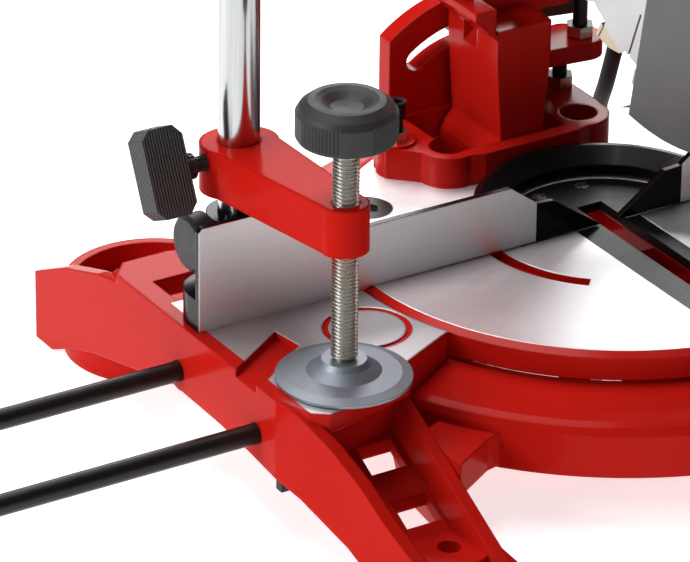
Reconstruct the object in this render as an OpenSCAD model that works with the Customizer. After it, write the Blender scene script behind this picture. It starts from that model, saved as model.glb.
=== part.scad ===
// Compact single-bevel mitre saw for a bench, with a work clamp and two pull-out supports.
// X runs along the fence, Y from front to back, Z up. The bench is z = 0, the mitre axis is x = y = 0.

/* [Table] */
// Height of the table surface above the bench
table_h = 56; // [56:1:60]
// Radius of the turntable
table_r = 111; // [109:0.5:111]
// Thickness of the turntable's top plate
plate_t = 6; // [5:0.5:7]
// Width of the kerf insert
insert_w = 30; // [28:1:32]
// Radius of the bench bolt holes
foot_hole_r = 4.4; // [3.5:0.1:5.5]

/* [Fence] */
// Thickness of the fence plates
fence_t = 2.6; // [2.4:0.1:3]
// Height of the fence at its outer ends
fence_h = 43; // [41:0.5:44]

/* [Blade] */
// Blade diameter
blade_d = 210; // [206:1:210]
// Thickness of the blade's body
blade_t = 1.6; // [1.2:0.1:2]
// Number of teeth
teeth = 24; // [20:2:30]

/* [Head] */
// Radius of the motor housing
motor_r = 44; // [40:1:46]
// Wall of the motor housing
motor_wall = 4; // [3:0.5:5]
// Length of the motor housing
motor_len = 78; // [74:1:78]
// Width of the main handle
handle_w = 30; // [26:1:32]
// Length of the dust spigot behind the blade housing
dust_len = 40; // [30:1:45]
// Outer radius of the dust spigot
dust_r = 19; // [17:0.5:19]

/* [Clamp] */
// Pillar diameter
pillar_d = 16; // [14:0.5:17]
// Height of the pillar above the table
pillar_h = 127; // [115:1:127]
// Spindle diameter
spindle_d = 10; // [8:0.5:11]
// Diameter of the clamp pad
pad_d = 51; // [44:1:53]
// Diameter of the spindle knob
clamp_knob_d = 37.5; // [34:0.5:40]
// Thickness of the clamp arm
clamp_arm_t = 19; // [16:0.5:20]

/* [Supports] */
// Diameter of the support bars
bar_d = 8; // [7:0.5:9]
// Distance from the mitre axis to the end of a support bar
bar_reach = 315; // [290:1:330]

/* [Cord] */
// Diameter of the mains lead
cord_d = 7; // [6.6:0.1:7]

/* [Hidden] */
$fn = 64;

T = table_h;
running = 0.05;
seat = 0.3;

RED = [0.78, 0.09, 0.07];
BLACK = [0.08, 0.08, 0.08];
ZINC = [0.72, 0.74, 0.75];
STEEL = [0.62, 0.63, 0.64];
GREY = [0.25, 0.25, 0.26];
BRASS = [0.72, 0.58, 0.3];
COPPER = [0.72, 0.38, 0.2];

// base ring and pivot
ring_in = 108.5;
ring_out = 140;
ring_foot = 20;
ring_wall = 5.5;
ledge_z = T - 12.4;
hub_top = 24;
hub_r = 22;
pivot_r = 6;
foot_x = 148;
foot_y = 118;
wing_t = 8;
wing_x = 187;
wing_gap_r = table_r + 2;
scale_w = 5.5;
bowl_x = -149;
bowl_y = 96;
bowl_r = 32;

// support bars
bar_r = bar_d / 2;
bar_z = T - 20;
bar_front = -46;
bar_rear = 11;
bar_inner = 150;
bar_bend = 10;
bar_corner = 6;
bar_screw_x = 166;

// fence
fence_gap = 0.6;
fence_out = 184.5;
fence_in = 34;
fence_end_r = 14;
fence_end_y = 8;
fence_end_h = 13;
fence_in_h = 26;
fence_tip_h = 17.2;
bow_out = 53;
bow_in = 42;
pillar_x = table_r + 45;
pillar_y = 19;
socket_r = pillar_d / 2 + 4.5;
socket_h = 36;
pillar_lock_z = T + 27.5;
fence_bolt_r = 3;
fence_bolts_x = [table_r + 10, table_r + 25];
fence_foot_in = table_r + 5;
fence_foot_out = table_r + 39;
fence_bolt_y = 17;

// clamp
pillar_r = pillar_d / 2;
spindle_r = spindle_d / 2;
spindle_y = -57;
arm_z = T + 48;
arm_top = arm_z + clamp_arm_t;
thumb_z = arm_z + 11.6;
clamp_nose_r = spindle_r + 3.8;
clamp_knob_z = T + 93.7;
pad_hub_h = 8;
pad_lift = 0.3;
thread_pitch = 1.5;

// turntable
skirt_h = 10.5;
skirt_t = 6;
rim_gap = 1.5;
rim_z = T - skirt_h - rim_gap;
well_in = 30;
well_out = 35;
well_z = hub_top + 0.4;
insert_t = 4;
insert_front = -150;
insert_rear = 40;
insert_r = 40.5;
arm_front = -180;
arm_half = 24;
nose_half = 13;
nose_y = -150;
nose_z = 26;
lock_z = 33;
lock_r = 4;
notch_half = 19.5;
notch_y = 54;
screw_x = 74;
screw_y = 59;
screw_r = 10;

// bevel hinge, whose axis lies in the table surface
bracket_bar = 6;
bracket_h = 13;
bracket_bolt_x = 31;
bracket_bolt_y = 68;
fan_r = 60;
fan_half = 38;
fan_y = 101;
fan_t = 8;
slot_r = 44;
slot_w = 9;
slot_end = 125.6;
lock_x = slot_r * cos(80);
lock_h = slot_r * sin(80);
lock_bolt_r = 3.5;
bevel_pin_r = 6;
bevel_hub_r = 16;
hub_y0 = 62;
hub_y1 = 98;
column_half = 12.5;
stop_x = -46.5;
stop_y = 82;
stop_top = 30.5;
stop_head_r = 3.8;
chin_gap = 0.3;
chin = (stop_top + chin_gap) * sqrt(2);
seat_line = (-stop_x - stop_head_r - chin_gap) * sqrt(2);
stop_r = 2.6;
lug_x = 42;
lug_y = 85;
rod_x0 = 39;
rod_y0 = 94;

// chop hinge
chop_y = 90.2;
chop_z = T + 95;
chop_pin_r = 6;
left_cheek = [-22, -13];
right_cheek = [22, 33];
cheek_r = 16;
tongue_left = -12.6;
tongue_right = 6;
latch_y = chop_y - 18;
latch_z = chop_z - 16;
latch_r = 4;

// head, drawn raised
blade_r = blade_d / 2;
blade_y = -43;
dust_y = 68;
blade_z = T + 166;
guard_r = blade_r + 4;
guard_rim = 2.5;
guard_x = 9.5;
guard_wall = 2;
nose_r = 26;
house_in = blade_r + 6;
house_out = house_in + 3;
house_x = 14;
house_wall = 2.5;
gear_module = 1.25;
gear_teeth = 50;
pinion_teeth = 10;
gear_line = atan2(30, 22.5);
axle_gap = gear_module * (gear_teeth + pinion_teeth) / 2;
motor_y = blade_y + axle_gap * cos(gear_line);
motor_z = blade_z + axle_gap * sin(gear_line);
case_x0 = house_x;
case_x1 = 46;
motor_x1 = case_x1 + motor_len;
cap_x1 = motor_x1 + 22;
arbor_r = 8;
rotor_r = 4.4;
bearing_r = 15;
rotor_bearing_r = 11;
flange_r = 22;
flange_t = 5;
bore_r = 15;

// handle
handle_bolt_r = house_out + 12.9;
handle_bolts = [[blade_y + handle_bolt_r * cos(102.28), blade_z - T + handle_bolt_r * sin(102.28)],
    [-172, 290],
    [-150, 248]];
grip_tilt = 14;
trigger_y = -130;
trigger_z = T + 302;
trigger_len = 30;
trigger_w = 12;
lock_off_y = -104;
lock_off_z = T + 318;
lock_off_r = 6;

// mains lead: its exit, its route and its coil on the bench
cord_r = cord_d / 2;
gland_x = 112;
gland_z = T + 194;
cord_exit_y = 54;
drop_route = [[112, 54, T + 194], [112, 68, T + 194], [112, 88, T + 187], [111, 104, T + 168],
    [109, 113, T + 144],
    [107, 119, T + 118], [105, 123, T + 98]];
mid_route = [[105, 123, T + 98], [103, 127, T + 78], [101, 130, T + 58], [99, 132, T + 38],
    [97, 134, T + 18]];
floor_route = [[97, 134, T + 18], [95, 136, T - 2], [95, 141, 38], [98, 149, 26], [103, 157, 16],
    [112, 165, 8],
    [126, 170, 4.5], [146, 171, 4], [176, 170, 4], [214, 170, 4], [250, 170, 4]];
coil_x = 257;
coil_y = 118.2;
coil_r = 44;
coil_step = 7.8;
coil_turns = 3;
plug_r = 11;
plug_w = 36;

// box between two corners
module block(a, b) {
    translate(a) cube(b - a);
}

// round bars along each axis
module rod_x(x0, x1, y, z, r) {
    translate([x0, y, z]) rotate([0, 90, 0]) cylinder(r = r, h = x1 - x0);
}

module rod_y(x, y0, y1, z, r) {
    translate([x, y1, z]) rotate([90, 0, 0]) cylinder(r = r, h = y1 - y0);
}

module rod_z(x, y, z0, z1, r) {
    translate([x, y, z0]) cylinder(r = r, h = z1 - z0);
}

// slabs whose outline is drawn in y,z or in x,z
module slab_x(x0, x1) {
    translate([x0, 0, 0]) rotate([90, 0, 90]) linear_extrude(x1 - x0) children();
}

module slab_y(y0, y1) {
    translate([0, y1, 0]) rotate([90, 0, 0]) linear_extrude(y1 - y0) children();
}

module slab_z(z0, z1) {
    translate([0, 0, z0]) linear_extrude(z1 - z0) children();
}

// a piece and its copy on the other side of the saw
module both_sides() {
    children();
    mirror([1, 0, 0]) children();
}

// hexagon nut or head across its flats, drawn flat
module hexagon(flats) {
    circle(r = flats / sqrt(3), $fn = 6);
}

// pie slice from angle a to b
module slice(a, b, r) {
    n = ceil((b - a) / 60);
    far = r / cos((b - a) / n / 2) + 1;
    polygon(concat([[0, 0]], [for (i = [0:n]) far * [cos(a + (b - a) * i / n), sin(a + (b - a) * i / n)]]));
}

module sector(a, b, r) {
    intersection() {
        circle(r = r, $fn = 128);
        slice(a, b, r);
    }
}

// tube of round section along points, with its ends square to the first and last stretch
function unit(v) = v / norm(v);

function tangent(p, i) = unit(p[min(i + 1, len(p) - 1)] - p[max(i - 1, 0)]);

function side(t) = abs(t[2]) > 0.9 ? unit(cross(t, [1, 0, 0])) : unit(cross(t, [0, 0, 1]));

function carried(p, i, u) = i >= len(p) ? [] :
    let (t = tangent(p, i), v = unit(u - t * (u * t))) concat([v], carried(p, i + 1, v));

function between(p, i, s) =
    let (a = p[max(i - 1, 0)], b = p[i], c = p[i + 1], d = p[min(i + 2, len(p) - 1)])
    0.5 * ((2 * b) + (c - a) * s + (2 * a - 5 * b + 4 * c - d) * s * s + (3 * b - a - 3 * c + d) * s * s * s);

function smooth(p, k) = concat([for (i = [0:len(p) - 2]) for (j = [0:k - 1]) between(p, i, j / k)],
    [p[len(p) - 1]]);

function lead(p) = concat([p[0]], smooth([for (i = [1:len(p) - 2]) p[i]], 2), [p[len(p) - 1]]);

module tube(path, r, sides) {
    n = len(path);
    u = carried(path, 0, side(tangent(path, 0)));
    pts = [for (i = [0:n - 1]) let (t = tangent(path, i), w = cross(t, u[i])) for (j = [0:sides - 1])
        path[i] + r * (cos(360 * j / sides) * u[i] + sin(360 * j / sides) * w)];
    walls = [for (i = [0:n - 2]) for (j = [0:sides - 1])
        let (a = i * sides + j, b = i * sides + (j + 1) % sides) each [[a, a + sides, b],
            [b, a + sides, b + sides]]];
    first = [for (j = [1:sides - 2]) [0, j, j + 1]];
    last = [for (j = [1:sides - 2]) [(n - 1) * sides, (n - 1) * sides + j + 1, (n - 1) * sides + j]];
    polyhedron(pts, concat(walls, first, last));
}

// base casting: ring, pivot hub and spokes, and the left wing with its legs
module base_ring() {
    rotate_extrude($fn = 128) polygon([[ring_in, 6], [ring_in, rim_z], [ring_in + 2, rim_z],
        [ring_in + 2, ledge_z], [119, ledge_z],
        [124, ledge_z - 0.9],
        [ring_out - 4, ledge_z - 2.2], [ring_out - 1.2, ledge_z - 3.6], [ring_out, ledge_z - 6.5],
        [ring_out, ring_foot],
        [ring_out - ring_wall, ring_foot], [ring_out - ring_wall, ledge_z - 9],
        [ring_out - ring_wall - 4, ledge_z - 8],
        [114, ledge_z - 6], [114, 6]]);
    for (a = [0, 1]) mirror([a, 0, 0]) rotate(atan2(bowl_y, bowl_x))
        block([ring_out - 3, -12, ring_foot + 2], [ring_out + 8, 12, 27]);
    rod_z(0, 0, 6, hub_top, hub_r);
    for (a = [45:90:315]) rotate(a) block([hub_r - 2, -6, 6], [ring_in + 3, 6, 20]);
}

module wing_outline() {
    difference() {
        polygon([[-90, -40], [-107, -47], [-129, -58], [-134.6, -68.5], [-160, -76], [-175, -79],
            [-181.5, -74],
            [-wing_x, -58], [-wing_x, 58], [-180, 66], [-140, 66], [-100, 52], [-90, 45]]);
        circle(r = wing_gap_r, $fn = 128);
    }
}

module side_wall() {
    intersection() {
        slab_z(0, T + 1) polygon([[-wing_x, 124], [-wing_x, -60], [-166, -140], [-165, -144],
            [-160, -142.6],
            [-161.2, -138.7], [-wing_x + 5, -59.3], [-wing_x + 5, 124]]);
        slab_x(-wing_x - 1, -150) translate([0, T]) polygon([[-146, -T - 1], [-146, -50], [-137.4, -46],
            [-125.8, -39],
            [-113.7, -30.3], [-101, -19], [-86.6, -9.4], [-72.4, -2.8], [-67.7, -1], [-60, 0], [44, 0],
            [74, -6.6],
            [100, -15.2], [125, -27.5], [125, -T - 1], [113, -T - 1], [95, -48.5], [77, -42.5], [54, -37],
            [38, -33],
            [16, -27.5], [-20, -28.4], [-42, -30.3], [-60, -32.5], [-72.6, -36.2], [-95.8, -47],
            [-110, -T - 1]]);
    }
}

module wing() {
    slab_z(T - wing_t, T) wing_outline();
    slab_z(T - 34, T - wing_t) intersection() {
        wing_outline();
        circle(r = 150, $fn = 128);
    }
    side_wall();
    slab_x(-wing_x + 5, -135) translate([0, T]) polygon([[58, -wing_t], [66, -2], [100, -30], [100, -38],
        [60, -16]]);
    slab_z(ring_foot + 0.8, T - 21.8) polygon([[-112, -64], [-100, -84], [-106, -88.6], [-113.8, -90.3],
        [-133.4, -102.1],
        [-134, -75]]);
    for (y = [bar_front, bar_rear]) rod_x(-wing_x, -bar_inner, y, bar_z, bar_r + 4);
    rod_z(-bar_screw_x, bar_front, 22, bar_z, 8);
    slab_z(T - 30, T - wing_t) polygon([[-183, -66], [-176, -72], [-160, -68.5], [-136, -64.5], [-136, -60],
        [-160, -64], [-175, -67], [-183, -61]]);
}

leg_slope = 27;
leg_top = T - 18;

module leg_run(length) {
    translate([0, -58, leg_top]) rotate([90 + leg_slope, 0, 0]) linear_extrude(length) children();
}

module front_leg() {
    intersection() {
        leg_run(112) polygon([[-190, -5], [-190, 0], [-141, 0], [-139, 12], [-134, 12], [-123, -40],
            [-129, -40],
            [-138, -5]]);
        slab_z(0, T) polygon([[-185, -57.5], [-100, -57.5], [-100, -148], [-161.3, -148]]);
    }
    slab_z(0, 7) polygon([[-170, -112], [-150, -100], [-126, -100], [-128, -140], [-138, -148],
        [-158, -148],
        [-163, -142]]);
    rod_z(-foot_x, -foot_y, 0, 12, 15);
}

module rear_foot() {
    translate([bowl_x, bowl_y, 0]) difference() {
        rod_z(0, 0, 0, 28, bowl_r + 4);
        rod_z(0, 0, 18, 30, bowl_r);
        rod_z(0, 0, -1, 12, bowl_r);
    }
    rod_z(-foot_x, foot_y, 0, 18, 11);
}

module wing_cuts() {
    slab_z(T - 3, T + 1) polygon([[-wing_x - 5, -35], [-159, -12.5], [-157, -27], [-183, -46],
        [-wing_x - 5, -46]]);
    difference() {
        rod_z(-128, -28, T - 0.6, T + 1, 17);
        rod_z(-128, -28, T - 1, T + 2, 14.6);
    }
    block([-178, 28, T - wing_t - 1], [-150, 46, T + 1]);
    for (y = [bar_front, bar_rear]) {
        rod_x(-wing_x - 5, -bar_inner, y, bar_z, bar_r + running);
        rod_x(-bar_inner - 1, -100, y, bar_z, bar_r + 0.6);
    }
    rod_z(-bar_screw_x, bar_front, 20, bar_z, 3 + running);
    block([-158, -80.5, -1], [-143, -69, T - 10]);
    block([-157, -103.5, -1], [-142, -92, T - 10]);
    for (y = [-foot_y, foot_y]) rod_z(-foot_x, y, -1, 40, foot_hole_r);
    rod_z(bowl_x, bowl_y, 18, 60, bowl_r);
    for (x = fence_bolts_x) rod_z(-x, fence_bolt_y, T - wing_t, T + 1, fence_bolt_r);
}

module base_casting() {
    color(RED) difference() {
        union() {
            base_ring();
            both_sides() {
                wing();
                front_leg();
                rear_foot();
            }
        }
        both_sides() wing_cuts();
        rod_z(0, 0, 0, 60, pivot_r);
    }
}

// degree scale on the ledge behind the turntable
module mitre_scale() {
    color(ZINC) slab_z(ledge_z, ledge_z + 0.8) difference() {
        sector(40, 140, wing_gap_r + scale_w);
        circle(r = wing_gap_r, $fn = 128);
    }
}

// bolt that the turntable turns on
module pivot_bolt() {
    color(STEEL) {
        rod_z(0, 0, 6, T - 22, pivot_r);
        rod_z(0, 0, well_z + 8.3, T - 18.5, 9);
    }
}

// fence: two faces, the bow that joins them behind the blade, and the clamp sockets
module fence_half() {
    slab_y(0, fence_t) translate([0, T]) polygon([[-fence_out, fence_gap], [-fence_out, fence_h - 1.5],
        [-fence_out + 1.5, fence_h], [-150, fence_h], [-128, fence_in_h], [-46, fence_in_h],
        [-fence_in, fence_tip_h],
        [-fence_in, 16.7], [-26, 16.2], [-4, fence_gap]]);
    slab_z(T, T + 8) polygon([[-fence_foot_out, fence_t], [-fence_foot_out, 26], [-fence_foot_in, 26],
        [-fence_foot_in, fence_t]]);
    block([-fence_out, 0, T], [-fence_foot_in, fence_t, T + 2]);
    rod_z(-pillar_x, pillar_y, T, T + socket_h, socket_r);
    block([-pillar_x - 8, fence_t - 1, T], [-pillar_x + 8, pillar_y, T + socket_h - 8]);
    block([-fence_out, fence_t - 1, T], [-pillar_x - 6, fence_end_y, T + fence_end_h]);
    intersection() {
        rod_z(-fence_out + fence_end_r, fence_end_y, T, T + fence_end_h, fence_end_r);
        block([-fence_out - 1, fence_t - 1, T - 1], [-pillar_x - 6, 40, T + fence_end_h + 1]);
    }
}

module fence() {
    color(BLACK) difference() {
        union() {
            both_sides() fence_half();
            translate([0, 0, T]) rotate([0, 0, 1]) rotate_extrude(angle = 178, $fn = 128)
                polygon([[bow_in, fence_gap],
                [bow_in, 5], [50, 10], [52, 10], [bow_out, 9], [bow_out, fence_gap]]);
        }
        both_sides() {
            rod_z(-pillar_x, pillar_y, T + 1.7, T + 60, pillar_r + running);
            rod_x(-pillar_x - 40, -pillar_x, pillar_y, pillar_lock_z, 3 + running);
            for (x = fence_bolts_x) rod_z(-x, fence_bolt_y, T - 1, T + 9, fence_bolt_r);
        }
    }
}

// bolts that hold the fence down
module socket_bolt(x, y, z, shank, r, head_r, head) {
    difference() {
        union() {
            rod_z(x, y, z - shank, z + head / 2, r);
            rod_z(x, y, z, z + head, head_r);
        }
        translate([x, y, z + head * 0.5]) linear_extrude(head) hexagon(r * 1.6);
    }
}

module fence_bolts() {
    color(BLACK) both_sides() for (x = fence_bolts_x)
        socket_bolt(-x, fence_bolt_y, T + 8, 8 + wing_t, fence_bolt_r, 5, 6);
}

// pull-out support: two legs, bent up at the end to the height of the table
module support_bar() {
    end = bar_reach - bar_bend;
    for (y = [bar_front, bar_rear]) {
        rod_x(-end, -bar_inner, y, bar_z, bar_r);
        translate([-end, y, bar_z + bar_bend]) rotate([90, 0, 0]) rotate([0, 0, 180])
            rotate_extrude(angle = 90) translate([bar_bend, 0]) circle(r = bar_r);
    }
    translate([-bar_reach, bar_rear - bar_corner, bar_z + bar_bend]) rotate([90, 0, 90])
        rotate_extrude(angle = 90) translate([bar_corner, 0]) circle(r = bar_r);
    translate([-bar_reach, bar_front + bar_corner, bar_z + bar_bend]) rotate([90, 0, 90]) rotate([0, 0, 90])
        rotate_extrude(angle = 90) translate([bar_corner, 0]) circle(r = bar_r);
    rod_y(-bar_reach, bar_front + bar_corner, bar_rear - bar_corner, bar_z + bar_bend + bar_corner, bar_r);
}

module left_support_bar() {
    color(BLACK) support_bar();
}

module right_support_bar() {
    color(BLACK) mirror([1, 0, 0]) support_bar();
}

// screw under a wing that holds its support bar
module bar_screw() {
    rod_z(-bar_screw_x, bar_front, 12, bar_z - bar_r - seat, 3);
    rod_z(-bar_screw_x, bar_front, 12, 20, 6);
    block([-bar_screw_x - 11, bar_front - 2, 9], [-bar_screw_x + 11, bar_front + 2, 19]);
}

module left_bar_screw() {
    color(BLACK) bar_screw();
}

module right_bar_screw() {
    color(BLACK) mirror([1, 0, 0]) bar_screw();
}

// work clamp
module clamp_pillar() {
    color(ZINC) rod_z(-pillar_x, pillar_y, T + 2.2, T + pillar_h, pillar_r);
}

module pillar_lock_knob() {
    face = -pillar_x - socket_r - 0.8;
    color(BLACK) union() {
        rod_x(face - 5, -pillar_x - pillar_r - seat, pillar_y, pillar_lock_z, 3);
        translate([face, pillar_y, pillar_lock_z]) rotate([0, -90, 0]) rotate_extrude() polygon([[0, 0],
            [10, 0],
            [11.3, 1.3], [11.3, 8], [9.8, 9.5], [0, 9.5]]);
    }
}

module clamp_arm() {
    color(RED) difference() {
        intersection() {
            union() {
                rod_z(-pillar_x, pillar_y, arm_z - 10, arm_top + 10, pillar_r + 7);
                rod_z(-pillar_x, spindle_y, arm_z - 10, arm_top + 10, clamp_nose_r);
                slab_z(arm_z - 10, arm_top + 10) polygon([[-pillar_x - pillar_r - 6, pillar_y + 2],
                    [-pillar_x + pillar_r + 6, pillar_y + 2],
                    [-pillar_x + clamp_nose_r - 0.5, spindle_y - 1],
                    [-pillar_x - clamp_nose_r + 0.5, spindle_y - 1]]);
            }
            slab_x(-pillar_x - 40, -pillar_x + 40) translate([0, arm_z]) polygon([[40, -3.3],
                [40, clamp_arm_t - 3.3],
                [-80, clamp_arm_t + 6], [-80, 6]]);
        }
        rod_z(-pillar_x, pillar_y, T, T + 200, pillar_r + running);
        rod_z(-pillar_x, spindle_y, T, T + 200, spindle_r + running);
        rod_x(-pillar_x - 40, -pillar_x, pillar_y, thumb_z, 3 + running);
    }
}

module clamp_thumbscrew() {
    face = -pillar_x - pillar_r - 7 - seat;
    color(BLACK) union() {
        rod_x(face - 12, -pillar_x - pillar_r - seat, pillar_y, thumb_z, 3);
        rod_x(face - 11, face - 5, pillar_y, thumb_z, 5);
        translate([face - 9, pillar_y, thumb_z]) rotate([-25, 0, 0]) slab_y(-6, 6) polygon([[0, -13],
            [0, 13],
            [-3.5, 17], [-13.5, 17], [-17, 13.5], [-17, -13.5], [-13.5, -17], [-3.5, -17]]);
    }
}

module clamp_spindle() {
    top = clamp_knob_z - T;
    turns = floor((top - pad_hub_h - 2) / thread_pitch);
    flank = [for (i = [0:turns - 1]) let (z = pad_hub_h + 1 + i * thread_pitch)
        each [[spindle_r - 0.9, z], [spindle_r, z + thread_pitch * 0.45],
            [spindle_r, z + thread_pitch * 0.55]]];
    color(ZINC) translate([-pillar_x, spindle_y, T]) rotate_extrude() polygon(concat([[0, 3],
        [spindle_r - 1, 3],
        [spindle_r - 1, pad_hub_h + 1]], flank, [[spindle_r - 0.9, top], [0, top]]));
}

module clamp_knob() {
    r = clamp_knob_d / 2;
    color(BLACK) translate([-pillar_x, spindle_y, clamp_knob_z]) difference() {
        rotate_extrude() polygon([[0, 0], [7, 0], [9, 2], [r - 3, 2.8], [r - 0.8, 3.6], [r, 5], [r, 14],
            [r - 1.5, 16.5],
            [r - 4.5, 18.8], [r - 7, 19], [r - 9.5, 18], [6, 16], [0, 15.5]]);
        for (g = [0:90:270]) for (i = [0:11]) rotate(g + 1 + 4.4 * i) translate([r + 0.1, 0, 4.4])
            cylinder(r = 0.55, h = 10.2, $fn = 16);
    }
}

module clamp_pad() {
    r = pad_d / 2;
    color(ZINC) translate([-pillar_x, spindle_y, T + pad_lift]) difference() {
        rotate_extrude() polygon([[0, 0.6], [r - 4, 0.6], [r - 1, 0], [r, 0], [r, 1.2], [r - 4, 2.4],
            [14, 3],
            [10, 6], [8.5, pad_hub_h], [0, pad_hub_h]]);
        translate([0, 0, 2.4]) cylinder(r = spindle_r - 1 + running, h = 20);
    }
}

// turntable: disc, blade well, pivot web and front arm
module turntable() {
    color(RED) difference() {
        union() {
            rotate_extrude($fn = 128) polygon([[0, T - plate_t], [table_r - skirt_t, T - plate_t],
                [table_r - skirt_t, T - skirt_h], [table_r, T - skirt_h], [table_r, T - 1.5],
                [table_r - 4, T], [0, T]]);
            block([-well_out, -100, well_z], [well_out, 51, T - plate_t]);
            slab_z(T - skirt_h, T) polygon([[-arm_half, -95], [arm_half, -95], [arm_half, -130],
                [18, arm_front],
                [-18, arm_front], [-arm_half, -130]]);
            block([-nose_half, arm_front, nose_z], [nose_half, nose_y, T - skirt_h + 0.5]);
        }
        difference() {
            block([-well_in, -95, 0], [well_in, 46, T - 8]);
            rod_z(0, 0, 0, well_z + 8, hub_r + 4);
            block([-well_in - 1, -12, 0], [well_in + 1, 12, well_z + 8]);
        }
        block([-14, -134, 0], [20, -94, T - 8]);
        block([-10, -134, T - 9], [12.5, 26, T]);
        rod_z(0, 0, 0, T - 10, pivot_r + running);
        block([-insert_w / 2, insert_front, T - insert_t], [insert_w / 2, 10, T + 1]);
        rotate_extrude(angle = 180, $fn = 128) polygon([[0, T - insert_t], [insert_r, T - insert_t],
            [insert_r, T + 1],
            [0, T + 1]]);
        rod_y(0, arm_front - 1, nose_y + 1, lock_z, lock_r + running);
        block([-notch_half, notch_y, 0], [notch_half, 130, T + 1]);
        both_sides() {
            slab_z(T - 3, T + 1) difference() {
                sector(124, 228, 55);
                circle(r = 49, $fn = 128);
            }
            for (y = [insert_front + 7, insert_rear - 6]) rod_z(10, y, T - 12, T, 1.5);
            rod_z(screw_x, screw_y, T - 20, T + 1, 4);
            rod_z(screw_x, screw_y, T - 3, T + 1, screw_r);
            rod_z(bracket_bolt_x, bracket_bolt_y, T - 20, T + 1, 3);
        }
    }
}

// plate around the blade's slot in the table
module kerf_insert() {
    color(BLACK) difference() {
        union() {
            block([-insert_w / 2, insert_front, T - insert_t], [insert_w / 2, 10, T - 0.2]);
            rotate_extrude(angle = 180, $fn = 128) polygon([[0, T - insert_t], [insert_r, T - insert_t],
                [insert_r, T - 0.2], [0, T - 0.2]]);
        }
        block([-3, -138, 0], [8.5, 18, T + 1]);
        both_sides() for (y = [insert_front + 7, insert_rear - 6]) {
            rod_z(10, y, T - 12, T, 1.5);
            rod_z(10, y, T - 2, T, 3);
        }
    }
}

module insert_screws() {
    color(ZINC) both_sides() for (y = [insert_front + 7, insert_rear - 6]) difference() {
        union() {
            rod_z(10, y, T - 8, T - 1.9, 1.5);
            rod_z(10, y, T - 2, T - 0.4, 3);
        }
        block([7, y - 0.4, T - 1], [13, y + 0.4, T]);
    }
}

// flat screws that lie flush in the turntable's top
module table_screws() {
    color(BLACK) both_sides() difference() {
        union() {
            rod_z(screw_x, screw_y, T - plate_t, T - 2, 4);
            rod_z(screw_x, screw_y, T - 3, T - 0.2, screw_r);
        }
        translate([screw_x, screw_y, T - 1.8]) linear_extrude(10) hexagon(8);
    }
}

// screw knob at the front that locks the mitre angle
module mitre_lock_knob() {
    color(BLACK) difference() {
        union() {
            rod_y(0, -205, -ring_out - 1.5, lock_z, lock_r);
            translate([0, -192, lock_z]) rotate([90, 0, 0]) rotate_extrude() polygon([[0, 0], [9, 0],
                [11, 3], [17, 8],
                [17, 26], [14, 32], [0, 34]]);
        }
        for (a = [0:45:315]) translate([0, -203, lock_z]) rotate([0, a, 0]) translate([19.5, 0, 0])
            rotate([90, 0, 0]) cylinder(r = 5, h = 30, $fn = 24);
    }
}

// bracket on the turntable that carries the bevel hinge
module hinge_bracket() {
    color(RED) difference() {
        union() {
            slab_z(T, T + bracket_h) {
                polygon([[-22, notch_y], [22, notch_y], [36, 58], [42, 64], [44, 74], [44, fan_y + fan_t],
                    [-fan_half, fan_y + fan_t], [-52, 90], [-54, 78], [-42, 66], [-36, 58]]);
                for (x = [-bracket_bolt_x, bracket_bolt_x]) translate([x, bracket_bolt_y]) circle(r = 12.5);
                translate([stop_x, stop_y]) circle(r = 8);
            }
            block([-14, notch_y, T - 14], [14, notch_y + bracket_bar, T + 2]);
            slab_y(fan_y, fan_y + fan_t) translate([0, T]) intersection() {
                circle(r = fan_r, $fn = 128);
                polygon([[-fan_half, 0], [-notch_half + 0.5, 0], [-notch_half + 0.5, -skirt_h],
                    [notch_half - 0.5, -skirt_h],
                    [notch_half - 0.5, 0], [fan_half, 0], [fan_half, 40], [10, 70], [-fan_half, 70]]);
            }
            rod_z(stop_x, stop_y, T, T + 14, 8);
        }
        slab_y(notch_y + bracket_bar + 1, fan_y - 1.5) translate([0, T]) polygon([[-notch_half, -20],
            [notch_half, -20],
            [notch_half, 20], [-notch_half - 20, 20], [-notch_half, 0]]);
        rod_y(0, 0, 200, T, bevel_pin_r);
        slab_y(fan_y - 1, fan_y + fan_t + 1) translate([0, T]) intersection() {
            difference() {
                circle(r = slot_r + slot_w / 2);
                circle(r = slot_r - slot_w / 2);
            }
            slice(72, slot_end, fan_r);
        }
        rod_y(slot_r * cos(slot_end), fan_y - 1, fan_y + fan_t + 1, T + slot_r * sin(slot_end), slot_w / 2);
        rod_z(stop_x, stop_y, T + 1, T + 20, stop_r);
        rod_z(rod_x0, rod_y0, T + 1, T + 20, 3);
        for (x = [-bracket_bolt_x, bracket_bolt_x]) {
            rod_z(x, bracket_bolt_y, T - 1, T + 20, 3);
            rod_z(x, bracket_bolt_y, T + 2, T + 20, 7.5);
        }
    }
}

module bracket_bolts() {
    color(STEEL) both_sides() socket_bolt(bracket_bolt_x, bracket_bolt_y, T + 2, 2 + plate_t, 3, 4.6, 4.2);
}

// cap screw that stops the head at 45 degrees
module bevel_stop_45() {
    color(BLACK) difference() {
        union() {
            rod_z(stop_x, stop_y, T + 1, T + stop_top - 3, stop_r);
            rod_z(stop_x, stop_y, T + stop_top - 7, T + stop_top, stop_head_r);
            translate([stop_x, stop_y, T + 14]) linear_extrude(4) hexagon(8);
        }
        translate([stop_x, stop_y, T + stop_top - 3]) linear_extrude(10) hexagon(4);
    }
}

// upright screw and nut on the bracket that the arm's lug comes down on
module bevel_stop_0() {
    color(BLACK) {
        rod_z(rod_x0, rod_y0, T + 1, T + 30.2, 3);
        translate([rod_x0, rod_y0, T + bracket_h]) linear_extrude(5) hexagon(10);
    }
}

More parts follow.
